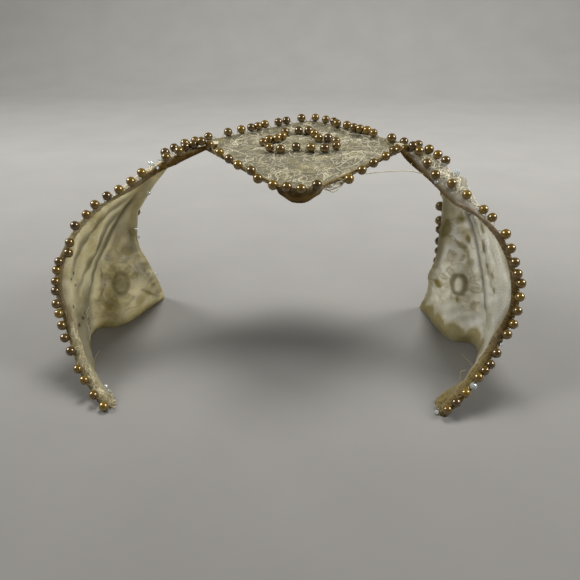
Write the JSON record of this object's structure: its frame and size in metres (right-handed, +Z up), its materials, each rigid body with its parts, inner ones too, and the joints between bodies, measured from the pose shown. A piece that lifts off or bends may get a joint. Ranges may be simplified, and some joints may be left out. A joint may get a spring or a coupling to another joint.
{
  "type": "bridal crown",
  "caption": "Soft lace and net bridal crown: a lace lozenge for the top of the head, with net wings that cup the sides and pearl beads sewn along the edges.",
  "frame": {"origin": "centre of the crown's box, on the surface that the hems stand on", "axes": "+X across the head from wing to wing, to the right seen from the front; -Y is the front; +Z up"},
  "size_m": [0.1537, 0.0892, 0.0721],
  "materials": {
    "lace": "matte ivory lace with raised cord",
    "net": "aged cream net, half see-through, turned hems",
    "pearl": "bronze-gold pearl, glossy"
  },
  "bodies": {
    "root": {"lace_diamond": "lace", "beads_diamond_front": "pearl", "beads_diamond_back": "pearl", "beads_diamond_ring": "pearl", "net_wing_left": "net", "beads_front_left": "pearl", "beads_back_left": "pearl", "beads_hem_left": "pearl", "net_wing_right": "net", "beads_front_right": "pearl", "beads_back_right": "pearl", "beads_hem_right": "pearl"}
  },
  "joints": []
}
